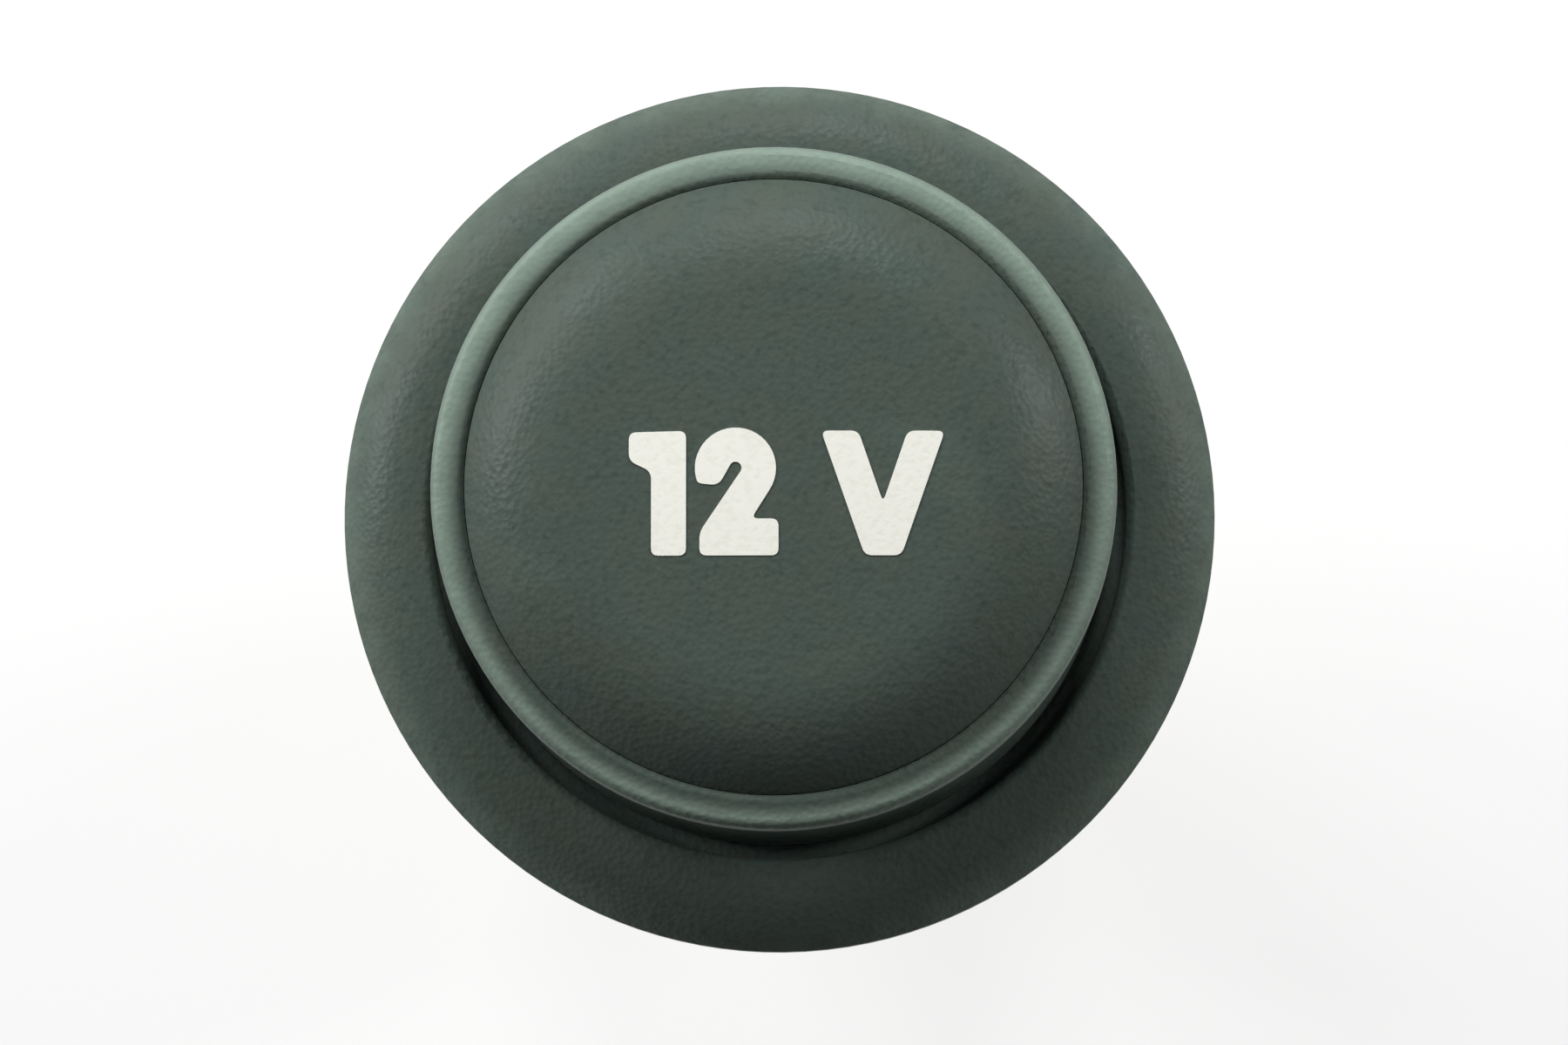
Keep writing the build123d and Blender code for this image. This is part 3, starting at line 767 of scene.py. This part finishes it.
def stud_rings(thread):
    """Levels and radius functions of the stud's rings, from the dome of its head to its end."""
    head, tolerance = STUD_HIGH.x, 0.01 * MM
    vertices = NODES["contact_stud"].data.vertices
    edge = [v.co.z for v in vertices if math.hypot(v.co.x, v.co.y) > head - tolerance]
    head_under, head_edge = min(edge), max(edge)
    rise = STUD_HIGH.z - head_edge
    sphere = (head**2 + rise**2) / (2 * rise)
    rings = []
    for i in range(1, thread.dome_rings + 1):
        radius = head * i / thread.dome_rings
        level = STUD_HIGH.z - sphere + math.sqrt(sphere**2 - radius**2)
        rings.append((level, lambda angle, r=radius: r))
    rings.append((head_under, lambda angle: head))
    rings.append((head_under, lambda angle: thread.diameter / 2))
    top, end = BASE_LOW.z, STUD_LOW.z
    rings.append((top, lambda angle: thread.diameter / 2))
    count = math.ceil((top - end) / thread.pitch * thread.rings_per_turn)
    for i in range(1, count + 1):
        level = top + (end - top) * i / count
        rings.append((level, lambda angle, z=level: thread_radius(thread, angle, z, end)))
    return rings


def threaded_stud(thread, material):
    """Stud with a domed head and a cut thread below the rear insulator."""
    stud = bmesh.new()
    sides = range(thread.segments)
    angles = [math.tau * i / thread.segments for i in sides]
    loops = []
    for level, radius in stud_rings(thread):
        loop = []
        for angle in angles:
            r = radius(angle)
            loop.append(stud.verts.new((r * math.cos(angle), r * math.sin(angle), level)))
        loops.append(loop)
    peak = stud.verts.new((0.0, 0.0, STUD_HIGH.z))
    tip = stud.verts.new((0.0, 0.0, STUD_LOW.z))
    pairs = [(i, (i + 1) % thread.segments) for i in sides]
    for upper, lower in zip(loops, loops[1:]):
        for i, j in pairs:
            stud.faces.new((upper[i], lower[i], lower[j], upper[j]))
    for i, j in pairs:
        stud.faces.new((peak, loops[0][i], loops[0][j]))
        stud.faces.new((tip, loops[-1][j], loops[-1][i]))
    for face in stud.faces:
        face.smooth = True
    piece = new_piece("threaded_stud", stud, "socket", material)
    piece.data.set_sharp_from_angle(angle=thread.sharp_angle)
    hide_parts("contact_stud")
    return piece


# Stage


def seen_directly(tree):
    """One for camera, glossy and transmission rays."""
    path = put(tree, "ShaderNodeLightPath").outputs
    mirrored = plus(tree, path["Is Glossy Ray"], path["Is Transmission Ray"])
    return plus(tree, path["Is Camera Ray"], mirrored)


def white_world(stage):
    """White surround that gives only a little light."""
    world = bpy.data.worlds.new("studio_surround")
    bpy.context.scene.world = world
    world.use_nodes = True
    tree = world.node_tree
    tree.nodes.clear()
    ambient = put(tree, "ShaderNodeBackground", {"Color": WHITE, "Strength": stage.ambient})
    white = put(tree, "ShaderNodeBackground", {"Color": WHITE, "Strength": 1.0})
    inputs = {0: seen_directly(tree), 1: ambient.outputs[0], 2: white.outputs[0]}
    mix = put(tree, "ShaderNodeMixShader", inputs)
    put(tree, "ShaderNodeOutputWorld", {"Surface": mix.outputs[0]})


def floor_paint(stage):
    """Pale paint that is lifted to white where it is seen."""
    material, tree, shader = new_material("studio_floor")
    paint = noise(tree, place(tree), stage.paint_size)
    less, more = 1 - stage.paint_spread, 1 + stage.paint_spread
    lit = blended(tree, paint, toned(stage.floor, less), toned(stage.floor, more))
    pale = blended(tree, paint, toned(stage.floor_seen, less), toned(stage.floor_seen, more))
    seen = seen_directly(tree)
    tone = blended(tree, seen, lit, pale)
    feed(tree, shader, Base_Color=tone, Roughness=stage.floor_roughness, Specular_IOR_Level=0.0)
    glow = put(tree, "ShaderNodeEmission", {"Color": WHITE, "Strength": 1.0})
    lift = times(tree, seen, stage.floor_lift)
    mix = put(tree, "ShaderNodeMixShader", {0: lift, 1: shader.outputs[0], 2: glow.outputs[0]})
    output = next(n for n in tree.nodes if n.bl_idname == "ShaderNodeOutputMaterial")
    tree.links.new(mix.outputs[0], output.inputs["Surface"])
    return material


def studio_floor(stage):
    """Round floor under the tips of the blades."""
    disc = bmesh.new()
    bmesh.ops.create_circle(
        disc, cap_ends=True, segments=stage.floor_segments, radius=stage.floor_radius
    )
    bmesh.ops.translate(disc, verts=disc.verts[:], vec=(0.0, 0.0, CAD_BOX[0].z))
    new_object("studio_floor", disc, floor_paint(stage))


def soft_box(stage, name):
    """Soft lamp aimed at the mouth of the socket, placed by the stage's settings of its name."""
    bearing, elevation = getattr(stage, f"{name}_bearing"), getattr(stage, f"{name}_height")
    lamp = bpy.data.lights.new(f"{name}_lamp", "AREA")
    lamp.shape = "SQUARE"
    lamp.size = stage.lamp_size
    lamp.energy = getattr(stage, f"{name}_power")
    level = math.cos(elevation)
    toward = Vector((math.cos(bearing) * level, math.sin(bearing) * level, math.sin(elevation)))
    piece = bpy.data.objects.new(lamp.name, lamp)
    piece.location = toward * stage.lamp_distance
    piece.rotation_mode = "QUATERNION"
    piece.rotation_quaternion = toward.to_track_quat("Z", "Y")
    piece.visible_camera = False
    bpy.context.scene.collection.objects.link(piece)


def photo_camera(stage):
    """Long lens looking down on the cap, with the marking upright."""
    camera = bpy.data.cameras.new("studio_camera")
    camera.lens = camera.sensor_width * stage.camera_distance / stage.frame_width
    back = Vector((math.tan(stage.camera_slant), -math.tan(stage.camera_dip), 1.0)).normalized()
    right = Vector((0.0, 1.0, 0.0)).cross(back).normalized()
    up = back.cross(right)
    aim = Vector((stage.aim_x, stage.aim_y, 0.0))
    matrix = Matrix((right, up, back)).transposed().to_4x4()
    matrix.translation = aim + back * stage.camera_distance
    piece = bpy.data.objects.new("studio_camera", camera)
    piece.matrix_world = matrix
    bpy.context.scene.collection.objects.link(piece)
    bpy.context.scene.camera = piece


# Operators


class POWERSOCKET_OT_finish_cap(bpy.types.Operator):
    """Give the cap its grained plastic with a worn rim and a painted highlight on it"""

    bl_idname = "power_socket.finish_cap"
    bl_label = "Finish the cap"

    def execute(self, context):
        settings = context.scene.power_socket
        finish, rubbing_and_highlight = settings.moulded, settings.rubbing_and_highlight
        base = finish.cap_colour
        dress(moulded_plastic("cap_plastic", base, finish, rubbing_and_highlight, rim_wear_and_highlight), "cap_body")
        dress(moulded_plastic("face_plastic", base, finish, rubbing_and_highlight, face_wear), "cap_face")
        return {"FINISHED"}


class POWERSOCKET_OT_print_marking(bpy.types.Operator):
    """Print the voltage on the cap's face"""

    bl_idname = "power_socket.print_marking"
    bl_label = "Print the marking"

    def execute(self, context):
        marking = context.scene.power_socket.marking
        ink = printed_ink(marking)
        size = marking.cap_height
        glyphs = [
            ("figure_one", *figure_one(), marking.figure_space),
            ("figure_two", *figure_two(), marking.word_space),
            ("letter_v", *letter_v(), 0.0),
        ]
        total = sum(width * size + space for _, _, width, space in glyphs)
        left = marking.middle_x - total / 2
        for name, outline, width, space in glyphs:
            printed_glyph(name, outline, left, marking, ink)
            left += width * size + space
        return {"FINISHED"}


class POWERSOCKET_OT_finish_bezel(bpy.types.Operator):
    """Give the bezel its grained plastic, with a worn roll and a painted highlight on it"""

    bl_idname = "power_socket.finish_bezel"
    bl_label = "Finish the bezel"

    def execute(self, context):
        settings = context.scene.power_socket
        finish, rubbing_and_highlight = settings.moulded, settings.rubbing_and_highlight
        base = finish.bezel_colour
        dress(moulded_plastic("bezel_plastic", base, finish, rubbing_and_highlight, flange_wear_and_highlight), "bezel_ring")
        return {"FINISHED"}


class POWERSOCKET_OT_finish_receptacle(bpy.types.Operator):
    """Give the receptacle its plating, streaked along the draw"""

    bl_idname = "power_socket.finish_receptacle"
    bl_label = "Finish the receptacle"

    def execute(self, context):
        finish = context.scene.power_socket.metal
        dress(drawn_metal("zinc_plating", finish.zinc, finish, True), "socket_shell")
        return {"FINISHED"}


class POWERSOCKET_OT_finish_contacts(bpy.types.Operator):
    """Give the contacts and blades their brass and cut the stud's thread"""

    bl_idname = "power_socket.finish_contacts"
    bl_label = "Finish the contacts"

    def execute(self, context):
        settings = context.scene.power_socket
        finish = settings.metal
        blade_brass = drawn_metal("rolled_brass", finish.brass, finish, True)
        turned_brass = drawn_metal("turned_brass", finish.brass, finish, False)
        dress(blade_brass, "positive_terminal", "ground_terminal", "contact_cup")
        dress(turned_brass, "hex_nut")
        threaded_stud(settings.thread, turned_brass)
        return {"FINISHED"}


class POWERSOCKET_OT_finish_fasteners(bpy.types.Operator):
    """Give the washers and the rivet their plated steel"""

    bl_idname = "power_socket.finish_fasteners"
    bl_label = "Finish the fasteners"

    def execute(self, context):
        finish = context.scene.power_socket.metal
        steel = drawn_metal("fastener_steel", finish.steel, finish, False)
        dress(steel, "plain_washer", "lock_washer", "ground_rivet")
        return {"FINISHED"}


class POWERSOCKET_OT_finish_insulators(bpy.types.Operator):
    """Give the insulators their nylon and the seal its rubber"""

    bl_idname = "power_socket.finish_insulators"
    bl_label = "Finish the insulators"

    def execute(self, context):
        finish = context.scene.power_socket.insulator
        dress(natural_nylon(finish), "contact_insulator", "rear_insulator")
        dress(seal_rubber(finish), "cap_seal_ring")
        return {"FINISHED"}


class POWERSOCKET_OT_build_stage(bpy.types.Operator):
    """Build the floor, the lamps and the camera"""

    bl_idname = "power_socket.build_stage"
    bl_label = "Build the stage"

    def execute(self, context):
        stage = context.scene.power_socket.stage
        context.scene.view_settings.view_transform = "Standard"
        white_world(stage)
        studio_floor(stage)
        for name in LAMPS:
            soft_box(stage, name)
        photo_camera(stage)
        return {"FINISHED"}


OPERATORS = [
    POWERSOCKET_OT_finish_cap,
    POWERSOCKET_OT_print_marking,
    POWERSOCKET_OT_finish_bezel,
    POWERSOCKET_OT_finish_receptacle,
    POWERSOCKET_OT_finish_contacts,
    POWERSOCKET_OT_finish_fasteners,
    POWERSOCKET_OT_finish_insulators,
    POWERSOCKET_OT_build_stage,
]


class POWERSOCKET_PT_sidebar(bpy.types.Panel):
    """Settings and steps of the power socket"""

    bl_idname = "POWERSOCKET_PT_sidebar"
    bl_label = "Power Socket"
    bl_space_type = "VIEW_3D"
    bl_region_type = "UI"
    bl_category = "Power Socket"

    def draw(self, context):
        settings = context.scene.power_socket
        for operator in OPERATORS:
            self.layout.operator(operator.bl_idname)
        for pointer in settings.bl_rna.properties:
            if pointer.type != "POINTER" or pointer.identifier == "rna_type":
                continue
            box = self.layout.box()
            box.label(text=pointer.name)
            group = getattr(settings, pointer.identifier)
            for item in group.bl_rna.properties:
                if item.identifier not in {"rna_type", "name"}:
                    box.prop(group, item.identifier)


CLASSES = [
    MouldedFinish,
    RubbedAndHighlightedPlastic,
    FaceMarking,
    MetalFinish,
    InsulatorFinish,
    StudThread,
    StudioStage,
    PowerSocketSettings,
    *OPERATORS,
    POWERSOCKET_PT_sidebar,
]


def register():
    """Registers the classes and hangs the settings on the scene."""
    for cls in CLASSES:
        bpy.utils.register_class(cls)
    bpy.types.Scene.power_socket = PointerProperty(
        type=PowerSocketSettings, name="Power socket", description="Settings of the power socket"
    )


def unregister():
    """Takes the settings and the classes away again."""
    del bpy.types.Scene.power_socket
    for cls in reversed(CLASSES):
        bpy.utils.unregister_class(cls)


def main():
    """Registers the add-on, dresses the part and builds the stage."""
    register()
    bpy.ops.power_socket.finish_cap()
    bpy.ops.power_socket.print_marking()
    bpy.ops.power_socket.finish_bezel()
    bpy.ops.power_socket.finish_receptacle()
    bpy.ops.power_socket.finish_contacts()
    bpy.ops.power_socket.finish_fasteners()
    bpy.ops.power_socket.finish_insulators()
    bpy.ops.power_socket.build_stage()


if __name__ == "__main__":
    main()
